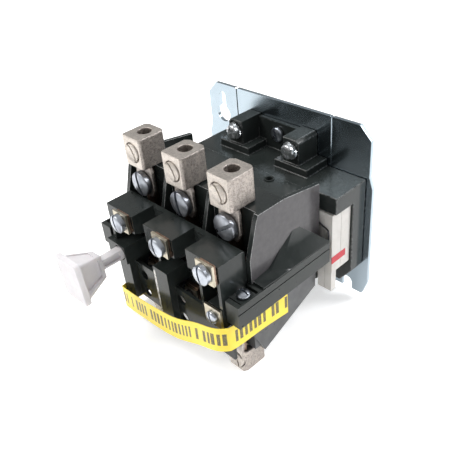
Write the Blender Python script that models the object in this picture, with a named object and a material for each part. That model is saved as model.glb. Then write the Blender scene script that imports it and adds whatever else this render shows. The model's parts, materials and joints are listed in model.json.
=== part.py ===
"""Three-pole open-type magnetic motor starter on a zinc plated mounting plate.

Lengths below are millimetres; meshes are made in metres. X is right, -Y is the front, Z is up, and the
origin is the centre of the mounting plate's back face.
"""

import math

import bmesh
import bpy
from mathutils import Matrix, Vector

MM = 0.001
GAP = 0.3
ROUND = 24

# Driving dimensions
POLE_PITCH = 30.0
POLES = {1: -POLE_PITCH, 2: 0.0, 3: POLE_PITCH}
TERMINAL_SHIFT = 7.0
TOP = 49.0
PLATE_THICKNESS = 2.0
PLATE_HALF_WIDTH = 54.5
PLATE_FOOT_HALF_WIDTH = 56.5
PLATE_TOP = 48.5
PLATE_BOTTOM = -49.0
KEYHOLE_X = -43.7
KEYHOLE_Z = 31.0
SLOT_X = 44.0
SLOT_WIDTH = 6.0
BASE_HALF_WIDTH = 42.4
BASE_FRONT = -27.0
BASE_BACK = -PLATE_THICKNESS - GAP
BASE_TOP = 22.0
HOUSING_HALF_WIDTH = 45.0
HOUSING_FACE = -66.4
HOUSING_TOP = 32.3
WALL_FRONT = -74.0
TROUGH_FRONT = -51.2
TROUGH_BACK_TOP = 28.5
TROUGH_FLOOR = 23.0
LEDGE_HALF_WIDTH = 51.3
LEDGE_TOP = -1.0
LEDGE_BOTTOM = -13.0
LEDGE_FRONT = -89.0
OVERLOAD_FRONT = -90.0
OVERLOAD_LEFT = -38.4
OVERLOAD_RIGHT = 42.4
BAY_FLOOR = -77.0
MAGNET_Z = -1.5
CONTACT_UPPER_Z = 5.2
CONTACT_LOWER_Z = -8.2
RESET_X = -32.0
RESET_Z = -9.5
LUG_HALF_WIDTH = 7.0
LUG_FRONT = -75.0
LUG_BACK = -59.0
WIRE_HOLE_RADIUS = 3.5
WIRE_HOLE_Y = -66.0
BIG_SCREW_RADIUS = 6.4
BIG_SCREW_Z = 23.0
CLAMP_RADIUS = 4.8
CLAMP_Z = 41.0
LOAD_CLAMP_Z = -47.0
LOAD_LUG_FRONT = -81.2
LOAD_LUG_TOP = -41.0
LOAD_LUG_BOTTOM = -53.3
LOAD_SCREW_Z = -35.0
HEATER_UPPER_Z = 13.5
STEEP_SLOT = -75.0
HEATER_LOWER_Z = -23.5
COVER_FRONT = -86.2
COVER_BACK = -84.6
COVER_TOP = -17.0
COVER_BOTTOM = -40.3
ACCESS_RADIUS = 2.8
CONTROL_TERMINAL_Z = -12.0
LEVER_PIVOT = (33.0, -60.5)
CLAMP_TRAVEL = 4.5


def material(name, colour, roughness, metallic=0.0):
    """A Principled material, made once for each name."""
    made = bpy.data.materials.get(name)
    if made:
        return made
    made = bpy.data.materials.new(name)
    made.use_nodes = True
    shader = made.node_tree.nodes["Principled BSDF"]
    shader.inputs["Base Color"].default_value = (*colour, 1.0)
    shader.inputs["Roughness"].default_value = roughness
    shader.inputs["Metallic"].default_value = metallic
    made.diffuse_color = (*colour, 1.0)
    return made


def phenolic():
    return material("black_phenolic", (0.018, 0.020, 0.020), 0.28)


def grey_phenolic():
    return material("dusty_phenolic", (0.060, 0.064, 0.066), 0.5)


def zinc():
    return material("zinc_plate", (0.62, 0.68, 0.74), 0.3, 1.0)


def tin():
    return material("tinned_lug", (0.66, 0.61, 0.54), 0.45, 1.0)


def brass():
    return material("copper_strap", (0.72, 0.50, 0.30), 0.35, 1.0)


def white_plastic():
    return material("white_plastic", (0.80, 0.78, 0.74), 0.45)


def solid_from(bm, name):
    """A closed object in the scene from a bmesh in millimetres."""
    bmesh.ops.recalc_face_normals(bm, faces=bm.faces)
    bmesh.ops.scale(bm, vec=(MM, MM, MM), verts=bm.verts)
    mesh = bpy.data.meshes.new(name)
    bm.to_mesh(mesh)
    bm.free()
    made = bpy.data.objects.new(name, mesh)
    bpy.context.scene.collection.objects.link(made)
    return made


def prism(outline, axis, low, high):
    """An outline extruded along an axis. It is (y, z) along X, (x, z) along Y and (x, y) along Z."""
    place = {
        "X": lambda a, b, along: (along, a, b),
        "Y": lambda a, b, along: (a, along, b),
        "Z": lambda a, b, along: (a, b, along),
    }[axis]
    bm = bmesh.new()
    ends = [[bm.verts.new(place(a, b, along)) for a, b in outline] for along in (low, high)]
    bm.faces.new(ends[0])
    bm.faces.new(ends[1])
    for i in range(len(outline)):
        j = (i + 1) % len(outline)
        bm.faces.new((ends[0][i], ends[0][j], ends[1][j], ends[1][i]))
    return solid_from(bm, "solid")


def block(x, y, z):
    """A box from three (low, high) pairs."""
    return prism([(x[0], y[0]), (x[1], y[0]), (x[1], y[1]), (x[0], y[1])], "Z", *z)


def circle(a, b, radius, count=ROUND):
    steps = [2 * math.pi * i / count for i in range(count)]
    return [(a + radius * math.cos(t), b + radius * math.sin(t)) for t in steps]


def rod(axis, centre, radius, low, high, count=ROUND):
    """A cylinder along an axis, whose centre is given in the other two directions."""
    return prism(circle(*centre, radius, count), axis, low, high)


def loft(sections):
    """A closed solid through rings of (x, y, z) points with the same count."""
    bm = bmesh.new()
    rings = [[bm.verts.new(point) for point in section] for section in sections]
    for before, after in zip(rings, rings[1:]):
        for i in range(len(before)):
            j = (i + 1) % len(before)
            bm.faces.new((before[i], before[j], after[j], after[i]))
    bm.faces.new(rings[0])
    bm.faces.new(rings[-1])
    return solid_from(bm, "solid")


def mirrored(points):
    """An (x, ...) outline reflected in X."""
    return [(-point[0], *point[1:]) for point in points]


def build(name, finish, adds, cuts=(), pivot=(0.0, 0.0, 0.0)):
    """Joins the solids, cuts the cutters away, and leaves one named object with its origin at the pivot."""
    made = adds[0]
    for operation, tools in (("UNION", adds[1:]), ("DIFFERENCE", cuts)):
        for tool in tools:
            modifier = made.modifiers.new("Boolean", "BOOLEAN")
            modifier.operation = operation
            modifier.solver = "EXACT"
            modifier.object = tool
    if made.modifiers:
        graph = bpy.context.evaluated_depsgraph_get()
        mesh = bpy.data.meshes.new_from_object(made.evaluated_get(graph))
        made.modifiers.clear()
        made.data = mesh
        for tool in [*adds[1:], *cuts]:
            bpy.data.objects.remove(tool)
    made.name = name
    made.data.name = name
    origin = Vector(pivot) * MM
    made.data.transform(Matrix.Translation(-origin))
    made.location = origin
    made.data.materials.clear()
    made.data.materials.append(finish)
    made.data.shade_smooth()
    made.data.set_sharp_from_angle(angle=math.radians(35))
    return made


def turned_bar(centre, reach, width, degrees):
    """A bar's outline across Y, centred on a point and turned about it."""
    turn = math.radians(degrees)
    bar = [(-reach, -width / 2), (reach, -width / 2), (reach, width / 2), (-reach, width / 2)]
    cos, sin = math.cos(turn), math.sin(turn)
    return [(centre[0] + a * cos - b * sin, centre[1] + a * sin + b * cos) for a, b in bar]


def screw(name, centre, radius, seat, head, shank, length, slot=1.2, turns=(28.0,), plate=None, washer=None):
    """A screw along Y, its head in front of the seat. A plate or a washer may be captive on it."""
    x, z = centre
    front = seat - head
    bevel = min(0.8, head / 2)
    rings = [(radius, seat), (radius, front + bevel), (radius - bevel, front)]
    sections = [[(a, y, b) for a, b in circle(x, z, r)] for r, y in rings]
    adds = [loft(sections), rod("Y", centre, shank, seat - 0.5, seat + length, 16)]
    if plate:
        half, thickness = plate
        adds.append(block((x - half, x + half), (seat - 0.2, seat + thickness), (z - half, z + half)))
    if washer:
        reach, thickness = washer
        adds.append(rod("Y", centre, reach, seat - 0.2, seat + thickness))
    cuts = [
        prism(turned_bar(centre, radius + 1, slot, degrees), "Y", front - 1, front + head * 0.45)
        for degrees in turns
    ]
    return build(name, zinc(), adds, cuts)


def mounting_plate():
    chamfer = 6.5
    right = [
        (PLATE_HALF_WIDTH - chamfer, PLATE_TOP),
        (PLATE_HALF_WIDTH, PLATE_TOP - chamfer),
        (PLATE_HALF_WIDTH, 23.0),
        (PLATE_FOOT_HALF_WIDTH, 17.0),
        (PLATE_FOOT_HALF_WIDTH, -40.0),
        (PLATE_FOOT_HALF_WIDTH - 2.5, PLATE_BOTTOM + 1.0),
        (PLATE_FOOT_HALF_WIDTH - 3.5, PLATE_BOTTOM),
    ]
    outline = right + mirrored(right)[::-1]
    through = (-PLATE_THICKNESS - 1, 1)
    slot_top = -45.0
    cuts = [
        rod("Y", (KEYHOLE_X, KEYHOLE_Z), 5.0, *through),
        block((KEYHOLE_X - 2.4, KEYHOLE_X + 2.4), through, (KEYHOLE_Z, 41.6)),
        rod("Y", (KEYHOLE_X, 41.6), 2.4, *through, 16),
    ]
    for side in (-1, 1):
        x = side * SLOT_X
        half = SLOT_WIDTH / 2
        cuts.append(rod("Y", (x, slot_top), half, *through, 16))
        cuts.append(block((x - half, x + half), through, (PLATE_BOTTOM - 1, slot_top)))
        groove = [(side * 32 - 0.7, -PLATE_THICKNESS - 0.5), (side * 32 + 0.7, -PLATE_THICKNESS - 0.5),
                  (side * 32, -PLATE_THICKNESS + 0.5)]
        cuts.append(prism(groove, "Z", PLATE_BOTTOM - 1, PLATE_TOP + 1))
        notch = [(side * 32 - 1.2, PLATE_TOP + 1), (side * 32 + 1.2, PLATE_TOP + 1),
                 (side * 32, PLATE_TOP - 1.0)]
        cuts.append(prism(notch, "Y", *through))
    cuts.append(rod("Y", (0.0, 31.6), 2.3, *through, 16))
    return build("mounting_plate", zinc(), [prism(outline, "Y", -PLATE_THICKNESS, 0.0)], cuts)


def base_moulding():
    flange = [(42.0, BASE_TOP), (53.0, BASE_TOP), (53.0, -28.0), (46.0, -37.0), (42.0, -37.0)]
    rim = 26.0
    adds = [
        block((-BASE_HALF_WIDTH, BASE_HALF_WIDTH), (BASE_FRONT, BASE_BACK), (-29.0, BASE_TOP)),
        block((-15.0, 15.0), (-4.6, BASE_BACK), (BASE_TOP - 0.5, 38.0)),
        prism(flange, "Y", -11.8, BASE_BACK),
        block((42.0, 53.0), (-25.0, -11.5), (13.0, BASE_TOP)),
        prism(mirrored([(42.0, 20.0), (46.5, 17.0), (46.5, -20.0), (42.0, -24.0)]), "Y", -11.8, BASE_BACK),
        rod("Y", (-BASE_HALF_WIDTH + 1.5, 11.0), 3.5, -14.0, -2.6),
    ]
    cuts = [
        block((-34.0, 34.0), (BASE_FRONT - 1, -5.0), (-24.5, 20.0)),
        rod("Y", (0.0, 31.6), 2.4, -6, 0, 16),
    ]
    for side in (-1, 1):
        adds.append(block(sorted((side * 9.0, side * 30.0)), (-18.5, BASE_BACK), (BASE_TOP - 0.5, rim)))
        outline = [(14.0, 25.0), (23.8, 25.0), (23.8, 37.5), (22.3, 39.0), (14.0, 39.0)]
        adds.append(prism(outline if side > 0 else mirrored(outline), "Y", -17.0, BASE_BACK))
        cuts.append(rod("Y", (side * 19.0, 33.2), 2.4, -18, -7, 16))
    return build("base_moulding", phenolic(), adds, cuts)


def shoulder(side):
    """The flared side of the arc housing, from a crest on the wall, over a fold, out to the ledge's edge."""
    low = LEDGE_TOP + GAP
    edge = low + 0.5
    inner = HOUSING_HALF_WIDTH - 1.5
    wall = HOUSING_HALF_WIDTH - 0.1
    # Each station is y, the crest's height, and the fold's and the outer edge's places.
    stations = [
        (-73.0, 0.5, (46.2, 0.2), 50.9),
        (-63.2, 1.7, (46.7, 1.3), 51.2),
        (-55.2, 8.1, (47.3, 4.7), LEDGE_HALF_WIDTH),
        (-46.4, 13.9, (48.0, 6.8), LEDGE_HALF_WIDTH),
    ]
    sections = []
    for y, crest, fold, out in stations:
        ring = [(inner, crest), (wall, crest), fold, (out, edge), (out, low), (inner, low)]
        sections.append([(side * x, y, z) for x, z in ring])
    # The rear end is cut by an upright plane that runs back as it goes out.
    rear_y = -42.3
    rear_slope = 2.27
    out = LEDGE_HALF_WIDTH
    ring = [(inner, 13.6), (wall, 13.6), (48.1, 6.8), (out, edge), (out, low), (inner, low)]
    sections.append([(side * x, rear_y + (x - wall) * rear_slope, z) for x, z in ring])
    return loft(sections)


def arc_housing():
    back = BASE_FRONT - GAP
    floor = LEDGE_TOP + GAP
    half = HOUSING_HALF_WIDTH
    profile = [
        (HOUSING_FACE, floor),
        (back, floor),
        (back, TROUGH_BACK_TOP),
        (TROUGH_FRONT, HOUSING_TOP),
        (HOUSING_FACE, HOUSING_TOP),
    ]
    fin = [
        (WALL_FRONT, floor),
        (-64.0, floor),
        (-64.0, HOUSING_TOP),
        (-67.5, HOUSING_TOP),
        (-69.0, 29.0),
        (WALL_FRONT, 12.0),
    ]
    adds = [prism(profile, "X", -half, half)]
    for low, high in ((-half, -half + 2.5), (-16.0, -14.0), (14.0, 16.0), (half - 2.5, half)):
        adds.append(prism(fin, "X", low, high))
    adds.append(block((-half + 1, half - 1), (WALL_FRONT, -72.7), (floor, 9.8)))
    adds.append(shoulder(-1))
    adds.append(shoulder(1))
    cuts = [
        block((-41.5, 41.5), (-62.0, back + 1), (floor - 1, 20.0)),
        block((-half + 2.2, half - 2.2), (TROUGH_FRONT, back + 1), (TROUGH_FLOOR, HOUSING_TOP + 1)),
        rod("Z", (17.6, -31.4), 1.6, 19.0, TROUGH_FLOOR + 1, 16),
    ]
    for x in POLES.values():
        cuts.append(block((x - 4.3, x + 4.3), (-68.0, -61.0), (7.7, 10.3)))
        cuts.append(rod("Y", (x, BIG_SCREW_Z), 2.9, HOUSING_FACE - 1, HOUSING_FACE + 3.9, 16))
        run = x + TERMINAL_SHIFT
        cuts.append(block((run - 4.8, run + 4.8), (WALL_FRONT - 1, -72.0), (7.5, 11.0)))
    return build("arc_housing", phenolic(), adds, cuts)


def overload_housing():
    floor_back = -75.2
    bottom = -34.0
    top = 17.0
    column_top = -4.5
    reset_side = -27.0
    into_floor = BAY_FLOOR + 0.5
    adds = [
        block((OVERLOAD_LEFT, OVERLOAD_RIGHT), (BAY_FLOOR, floor_back), (bottom, -0.4)),
        block((OVERLOAD_LEFT, OVERLOAD_RIGHT), (BAY_FLOOR, -74.3), (-0.7, top - 0.8)),
        block((OVERLOAD_LEFT, OVERLOAD_LEFT + 2), (OVERLOAD_FRONT, floor_back), (-47.0, top)),
        block((OVERLOAD_RIGHT - 1.8, OVERLOAD_RIGHT), (OVERLOAD_FRONT, floor_back), (-16.0, top)),
        block((33.0, OVERLOAD_RIGHT), (OVERLOAD_FRONT, into_floor), (-17.6, -6.5)),
        block((-41.5, reset_side), (-92.5, into_floor), (-15.0, column_top)),
        block((OVERLOAD_LEFT, -29.2), (OVERLOAD_FRONT, into_floor), (-40.0, -14.5)),
        block((-7.4, 3.4), (OVERLOAD_FRONT, into_floor), (COVER_TOP, -7.0)),
        block((-7.4, 3.4), (OVERLOAD_FRONT, COVER_BACK), (COVER_BOTTOM, COVER_TOP + 0.5)),
        block((-29.7, OVERLOAD_RIGHT), (COVER_FRONT, COVER_BACK), (COVER_BOTTOM, COVER_TOP)),
    ]
    cuts = [
        rod("Y", (RESET_X, RESET_Z), 4.2, -93.5, BAY_FLOOR),
        rod("Y", (RESET_X, RESET_Z), 2.5, BAY_FLOOR - 1, floor_back + 1, 16),
        rod("Y", (37.0, CONTROL_TERMINAL_Z), 1.9, OVERLOAD_FRONT - 1, -83.5, 16),
    ]
    for number, pole in POLES.items():
        left = pole - 8.4
        right = pole + 12.4
        boss = [(OVERLOAD_FRONT, 7.0), (into_floor, 2.0), (into_floor, top), (OVERLOAD_FRONT, top)]
        adds.append(prism(boss, "X", left, right))
        if number > 1:
            adds.append(block((left, left + 1.8), (COVER_BACK - 0.5, floor_back), (bottom, column_top)))
        x = pole + TERMINAL_SHIFT
        cuts.append(block((x - 4.8, x + 4.8), (OVERLOAD_FRONT - 1, -74), (7.7, 10.3)))
        cuts.append(rod("Y", (x, HEATER_UPPER_Z), 1.9, OVERLOAD_FRONT - 1, -83.5, 16))
        cuts.append(rod("Y", (x, HEATER_LOWER_Z), 1.9, BAY_FLOOR - 1, floor_back + 1, 16))
        for z in (HEATER_LOWER_Z, LOAD_SCREW_Z):
            cuts.append(rod("Y", (x, z), ACCESS_RADIUS, COVER_FRONT - 1, COVER_BACK + 1))
    for side in (-1, 1):
        inner = OVERLOAD_RIGHT - 1 if side > 0 else OVERLOAD_LEFT + 1
        adds.append(block(sorted((inner, side * 50.0)), (-85.5, -76.5), (-3.7, -1.7)))
        cuts.append(rod("Z", (side * 46.6, -81.0), 1.9, -4.2, 0, 16))
    return build("overload_housing", phenolic(), adds, cuts)


def lower_housing():
    half = 45.3
    wall = 2.0
    outer = LEDGE_HALF_WIDTH
    hull_top = LEDGE_BOTTOM + 0.5
    hull = [(-31.0, hull_top), (-31.0, -29.0), (-69.0, -45.0), (-77.0, -28.0), (-80.0, hull_top)]
    bottom = [(-31.0, -29.0), (-31.0, -26.5), (-59.0, -38.2), (-73.5, -38.2), (-73.5, -40.5), (-60.0, -41.2)]
    adds = [
        block((-outer, outer), (LEDGE_FRONT, BASE_FRONT - GAP), (LEDGE_BOTTOM, LEDGE_TOP)),
        prism(bottom, "X", -half + 0.5, half - 0.5),
        block((-half + 0.5, half - 0.5), (-74.8, -72.3), (-40.5, LEDGE_BOTTOM + 0.5)),
        block((-half + 0.5, half - 0.5), (-33.5, -31.0), (-29.0, LEDGE_BOTTOM + 0.5)),
    ]
    for side in (-1, 1):
        adds.append(prism(hull, "X", *sorted((side * half, side * (half - wall)))))
    cuts = [
        block((-43.3, 43.3), (LEDGE_FRONT - 1, -74.7), (LEDGE_BOTTOM - 1, LEDGE_TOP + 1)),
        block((-43.3, 43.3), (-72.3, -33.5), (LEDGE_BOTTOM - 1, LEDGE_TOP + 1)),
        block((-35.0, 35.0), (-34.0, BASE_FRONT + 1), (LEDGE_BOTTOM - 2, LEDGE_TOP + 1)),
    ]
    for x in POLES.values():
        run = x + TERMINAL_SHIFT
        cuts.append(block((run - 4.8, run + 4.8), (-73.0, -72.0), (-17.0, LEDGE_TOP + 1)))
    for side in (-1, 1):
        cuts.append(block(sorted((side * 43.0, side * 50.3)), (-86.5, -75.5), (-4.0, 0.0)))
        cuts.append(rod("Z", (side * 46.6, -81.0), 1.9, -12, 0, 16))
        groove = sorted((side * (outer - 0.4), side * (outer + 1)))
        cuts.append(block(groove, (LEDGE_FRONT - 1, BASE_FRONT), (-5.3, -4.7)))
    return build("lower_housing", grey_phenolic(), adds, cuts)


def line_lug(number, x):
    """The cast lug: a chamfered block with a vertical wire hole, and a tang down under the terminal screw."""
    half = LUG_HALF_WIDTH
    under = HOUSING_TOP + 0.8
    plan = [
        (x - half + 0.9, LUG_FRONT),
        (x + half - 0.9, LUG_FRONT),
        (x + half, LUG_FRONT + 1.2),
        (x + half, LUG_BACK - 1.5),
        (x + half - 2.2, LUG_BACK),
        (x - half + 2.2, LUG_BACK),
        (x - half, LUG_BACK - 1.5),
        (x - half, LUG_FRONT + 1.2),
    ]
    clamp_end = WIRE_HOLE_Y - WIRE_HOLE_RADIUS + CLAMP_TRAVEL + GAP
    tang = [(x - 4.5, under + 1), (x + 5.5, under + 1), (x + 6.8, 30.0), (x + 6.8, 20.0), (x + 4.5, 15.5),
            (x - 4.5, 15.5), (x - 6.0, 19.0), (x - 6.0, 28.0)]
    adds = [
        prism(plan, "Z", under, TOP),
        prism(tang, "Y", -71.0, -69.0),
    ]
    cuts = [
        rod("Z", (x, WIRE_HOLE_Y), WIRE_HOLE_RADIUS, under - 1, TOP + 1),
        rod("Y", (x, CLAMP_Z), CLAMP_RADIUS + GAP, LUG_FRONT - 1, clamp_end),
        rod("Y", (x, BIG_SCREW_Z), 2.9, -72, -68, 16),
    ]
    return build(f"line_lug_{number}", tin(), adds, cuts)


def load_lug(number, x):
    """The line lug turned upside down: the tang goes up and the wire hole opens downwards."""
    half = LUG_HALF_WIDTH - 1.0
    front = LOAD_LUG_FRONT
    back = front + 15.3
    plan = [
        (x - half + 1.6, front),
        (x + half - 1.6, front),
        (x + half, front + 2.2),
        (x + half, back - 1.5),
        (x + half - 2.2, back),
        (x - half + 2.2, back),
        (x - half, back - 1.5),
        (x - half, front + 2.2),
    ]
    tang = [(x - 4.5, LOAD_LUG_TOP - 1), (x - 5.5, -37.0), (x - 5.5, -31.0), (x - 4.0, -29.0),
            (x + 4.0, -29.0), (x + 5.5, -31.0), (x + 5.5, -37.0), (x + 4.5, LOAD_LUG_TOP - 1)]
    adds = [
        prism(plan, "Z", LOAD_LUG_BOTTOM, LOAD_LUG_TOP),
        prism(tang, "Y", -81.0, -79.3),
    ]
    cuts = [
        rod("Z", (x, front + 9.0), WIRE_HOLE_RADIUS, LOAD_LUG_BOTTOM - 1, LOAD_LUG_TOP + 1),
        rod("Y", (x, LOAD_CLAMP_Z), CLAMP_RADIUS + GAP, front - 1, front + 5.5 + CLAMP_TRAVEL + GAP),
        rod("Y", (x, LOAD_SCREW_Z), 2.2, -82, -78, 16),
    ]
    return build(f"load_lug_{number}", tin(), adds, cuts)


def clamp_screw(name, centre, front, end):
    """A headless slotted screw inside a lug, ending just short of the wire space."""
    adds = [rod("Y", centre, CLAMP_RADIUS, front, end)]
    cuts = [prism(turned_bar(centre, CLAMP_RADIUS + 1, 1.2, 0.0), "Y", front - 1, front + 1.4)]
    return build(name, zinc(), adds, cuts)


def line_strap(number, x):
    """A bent copper strap from the line lug's screw to the upper fixed contact."""
    front = [(-68.7, 8.0), (-68.7, 32.0), (-66.8, 32.0), (-66.8, 10.0), (-43.6, 10.0), (-41.6, 8.0),
             (-41.6, 3.5), (-43.2, 3.5), (-43.2, 8.0)]
    adds = [
        prism(front, "X", x - 4.0, x + 4.0),
        rod("Y", (x, CONTACT_UPPER_Z), 2.2, -44.2, -42.5, 16),
    ]
    cuts = [rod("Y", (x, BIG_SCREW_Z), 2.9, -70, -66, 16)]
    return build(f"line_strap_{number}", brass(), adds, cuts)


def load_strap(number, x):
    """From the lower fixed contact forward and up to the heater's upper terminal."""
    low = -16.0
    contact = [(-43.2, -6.5), (-43.2, low + 1.8), (-44.5, low + 1.8), (-44.5, low), (-41.6, low),
               (-41.6, -6.5)]
    right = x + TERMINAL_SHIFT
    rise = [(-72.2, low), (-70.6, low), (-70.6, 9.8), (-72.2, 9.8)]
    end = [(-72.4, 8.2), (-90.2, 8.2), (-90.2, 8.0), (-91.6, 8.0), (-91.6, 18.0), (-90.3, 18.0), (-90.3, 9.8),
           (-72.0, 9.8)]
    adds = [
        prism(contact, "X", x - 4.0, x + 4.0),
        block((x - 4.0, right + 4.5), (-72.0, -44.0), (low, low + 1.8)),
        prism(rise, "X", right - 4.5, right + 4.5),
        prism(end, "X", right - 4.5, right + 4.5),
        rod("Y", (x, CONTACT_LOWER_Z), 2.2, -44.2, -42.5, 16),
    ]
    cuts = [rod("Y", (right, HEATER_UPPER_Z), 1.9, -93, -89, 16)]
    return build(f"load_strap_{number}", brass(), adds, cuts)


def overload_strap(number, x):
    """From the heater's lower terminal straight down to the load lug."""
    adds = [block((x - 4.5, x + 4.5), (-79.0, BAY_FLOOR - GAP), (-40.5, -18.2))]
    cuts = [
        rod("Y", (x, HEATER_LOWER_Z), 1.9, -80, -76, 16),
        rod("Y", (x, LOAD_SCREW_Z), 2.2, -80, -76, 16),
    ]
    return build(f"overload_strap_{number}", brass(), adds, cuts)


def aux_contact_block():
    adds = [
        block((42.7, 51.6), (-26.0, -12.1), (-21.0, 12.7)),
        block((42.7, 51.6), (-26.0, -22.3), (-33.0, -20.5)),
    ]
    cuts = [block((42.0, 45.5), (-23.5, -14.5), (-16.0, 8.0))]
    return build("aux_contact_block", white_plastic(), adds, cuts)


def button_ring(width, height, y):
    """Four corners of a rectangle across Y, centred on the plunger and turned as the button is."""
    turn = math.radians(5)
    side, top = width / 2, height / 2
    corners = [(side, top), (-side, top), (-side, -top), (side, -top)]
    cos, sin = math.cos(turn), math.sin(turn)
    return [(RESET_X + a * cos - b * sin, y, RESET_Z + a * sin + b * cos) for a, b in corners]


def reset_plunger():
    """The push button: a wide flange, a tapered neck, a square stem and a round guide inside its bore."""
    adds = [
        rod("Y", (RESET_X, RESET_Z), 3.85, -91.0, -86.0),
        rod("Y", (RESET_X, RESET_Z), 2.0, -87.0, -80.5, 16),
        loft([button_ring(5.5, 5.5, -106.0), button_ring(5.5, 5.5, -90.0)]),
        loft([button_ring(8.0, 13.2, -105.0), button_ring(16.4, 20.8, -119.2)]),
        loft([button_ring(19.4, 23.8, -119.0), button_ring(19.4, 23.8, -122.0)]),
    ]
    return build("reset_plunger", white_plastic(), adds, pivot=(RESET_X, -122.0, RESET_Z))


def coil_spring(name, centre, radius, wire, start, end, turns, fixed):
    """A round-wire compression spring along Y, its ends capped."""
    x, z = centre
    per_turn = 12
    sides = 6
    count = int(turns * per_turn)
    rings = []
    for i in range(count + 1):
        t = 2 * math.pi * i / per_turn
        outward = Vector((math.cos(t), 0.0, math.sin(t)))
        pitch = (end - start) / count
        along = Vector((-radius * math.sin(t) * 2 * math.pi / per_turn, pitch,
                        radius * math.cos(t) * 2 * math.pi / per_turn)).normalized()
        across = along.cross(outward)
        centre_point = Vector((x, start + pitch * i, z)) + outward * radius
        ring = []
        for k in range(sides):
            u = 2 * math.pi * k / sides
            ring.append(tuple(centre_point + (outward * math.cos(u) + across * math.sin(u)) * wire))
        rings.append(ring)
    spring = loft(rings)
    return build(name, zinc(), [spring], pivot=(x, fixed, z))


def electromagnet():
    """The fixed core, its coil and the armature that the core pulls back."""
    low = MAGNET_Z - 11.0
    high = MAGNET_Z + 11.0
    core = [(-24, -5.5), (24, -5.5), (24, -24), (17, -24), (17, -9.5), (7, -9.5), (7, -24), (-7, -24),
            (-7, -9.5), (-17, -9.5), (-17, -24), (-24, -24)]
    build("magnet_core", material("core_steel", (0.42, 0.43, 0.45), 0.5, 1.0), [prism(core, "Z", low, high)])
    winding = block((-16.3, 16.3), (-22.5, -10.0), (MAGNET_Z - 18.5, MAGNET_Z + 18.5))
    hole = block((-7.6, 7.6), (-24, -9), (low - 0.6, high + 0.6))
    build("coil", material("coil_wrap", (0.25, 0.05, 0.03), 0.55), [winding], [hole])
    build(
        "armature",
        material("core_steel", (0.42, 0.43, 0.45), 0.5, 1.0),
        [block((-24, 24), (-36.0, -30.3), (low, high))],
        pivot=(0, -30.3, MAGNET_Z),
    )


def contact_carrier():
    bar = (-58.0 + 2.5, -45.5)
    adds = [
        block((-38.0, 38.0), bar, (MAGNET_Z - 4.5, MAGNET_Z + 4.5)),
        block((-33.0, 33.0), (-39.5, -36.3), (MAGNET_Z - 8.0, MAGNET_Z + 8.0)),
    ]
    for side in (-1, 1):
        post = sorted((side * 10.0, side * 18.0))
        adds.append(block(post, (-46.0, -39.0), (MAGNET_Z - 4.5, MAGNET_Z + 4.5)))
    cuts = [block((x - 4.4, x + 4.4), (-53.0, -49.0), (-20, 20)) for x in POLES.values()]
    return build("contact_carrier", phenolic(), adds, cuts, pivot=(0, -36.3, MAGNET_Z))


def moving_contact(number, x):
    adds = [block((x - 4.0, x + 4.0), (-52.0, -50.6), (-10.7, 7.7))]
    for z in (CONTACT_UPPER_Z, CONTACT_LOWER_Z):
        adds.append(rod("Y", (x, z), 2.2, -51.0, -50.5, 16))
    return build(f"moving_contact_{number}", brass(), adds, pivot=(x, -50.5, MAGNET_Z))


def trip_parts():
    """The trip bar under the arc housing and the contact lever that it turns."""
    pivot_x, pivot_y = LEVER_PIVOT
    height = (-10.5, -6.8)
    inside = (height[0] + 0.2, height[1] - 0.2)
    face = pivot_x - 0.8 - GAP
    bar = [
        block((-36.0, face - 1.9), (-69.8, -66.8), height),
        block((face - 2.9, face), (-69.8, -67.4), height),
    ]
    build("trip_slide", white_plastic(), bar, pivot=(-36.0, -68.3, height[0]))
    arm = [
        rod("Z", LEVER_PIVOT, 2.0, *height, 16),
        block((pivot_x - 0.8, pivot_x + 0.8), (pivot_y - 8.0, pivot_y + 4.5), inside),
    ]
    build("trip_contact_lever", brass(), arm, pivot=(pivot_x, pivot_y, height[0]))


def label_tape():
    """The loose tape band round the lower front, as one thin closed strip."""
    width = 14.0
    thickness = 0.5
    route = [
        (46.3, -53.0, -17.0),
        (46.3, -70.0, -15.2),
        (46.3, -88.0, -14.0),
        (45.0, -92.5, -13.6),
        (40.0, -95.5, -14.2),
        (28.0, -95.5, -18.5),
        (10.0, -95.5, -26.0),
        (-12.0, -95.0, -30.0),
        (-36.0, -92.5, -35.5),
        (-39.3, -90.5, -36.0),
        (-39.3, -80.0, -36.0),
    ]
    flat = [Vector((x, y)) for x, y, _ in route]
    inner = []
    outer = []
    for i, point in enumerate(flat):
        before = flat[max(i - 1, 0)]
        after = flat[min(i + 1, len(flat) - 1)]
        direction = (after - before).normalized()
        side = Vector((-direction.y, direction.x))
        inner.append(point + side * thickness / 2)
        outer.append(point - side * thickness / 2)
    sections = []
    for (x0, y0), (x1, y1), (_, _, top) in zip(inner, outer, route):
        sections.append([(x0, y0, top), (x1, y1, top), (x1, y1, top - width), (x0, y0, top - width)])
    return build("label_tape", material("yellow_tape", (0.93, 0.78, 0.10), 0.4), [loft(sections)])


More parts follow.
